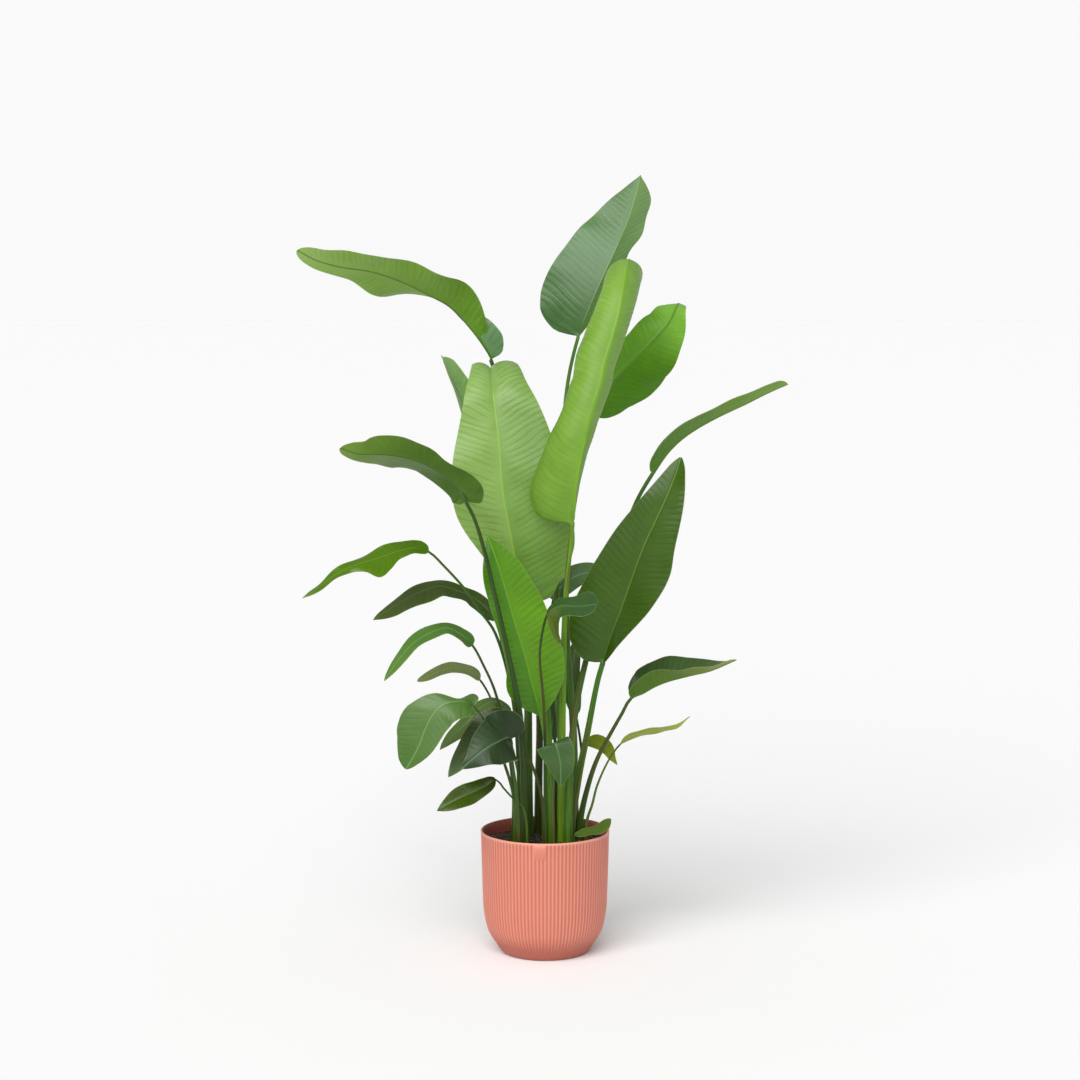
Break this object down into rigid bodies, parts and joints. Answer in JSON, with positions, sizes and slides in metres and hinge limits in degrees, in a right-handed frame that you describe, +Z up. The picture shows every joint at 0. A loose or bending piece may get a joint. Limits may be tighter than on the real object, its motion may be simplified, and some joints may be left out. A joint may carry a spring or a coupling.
{
  "type": "potted bird of paradise plant",
  "caption": "Tall leafy house plant whose broad, paddle-shaped leaves rise on long stalks from the soil of a round ribbed planter with a rounded foot.",
  "frame": {"origin": "centre of the flat underside of the planter", "axes": "+Z up along the planter's axis, -Y towards the viewer of the picture, +X to the viewer's right"},
  "size_m": [0.8172, 0.4777, 1.3211],
  "materials": {
    "pot": "satin moulded salmon plastic with fine ribs",
    "soil": "loose dark potting soil with pale grains",
    "leaf": "smooth waxy leaf with fine side veins, duller and greyer underneath"
  },
  "bodies": {
    "root": {"pot": "pot", "soil": "soil", "leaf_tall_back": "leaf", "leaf_arch_left": "leaf", "leaf_rolled": "leaf", "leaf_front": "leaf", "leaf_back_right": "leaf", "leaf_back_left": "leaf", "leaf_mid_left": "leaf", "leaf_low_left": "leaf", "leaf_grey_left": "leaf", "leaf_droop_left": "leaf", "leaf_small_left": "leaf", "leaf_wide_left": "leaf", "leaf_behind_left": "leaf", "leaf_dark_left": "leaf", "leaf_shade_left": "leaf", "leaf_rim_left": "leaf", "leaf_bright_middle": "leaf", "leaf_small_middle": "leaf", "leaf_right": "leaf", "leaf_narrow_right": "leaf", "leaf_low_right": "leaf", "leaf_yellow_right": "leaf", "leaf_olive_right": "leaf", "leaf_hanging_middle": "leaf", "leaf_rim_right": "leaf", "leaf_gap_back": "leaf", "leaf_low_back": "leaf", "leaf_shade_back": "leaf"}
  },
  "joints": []
}
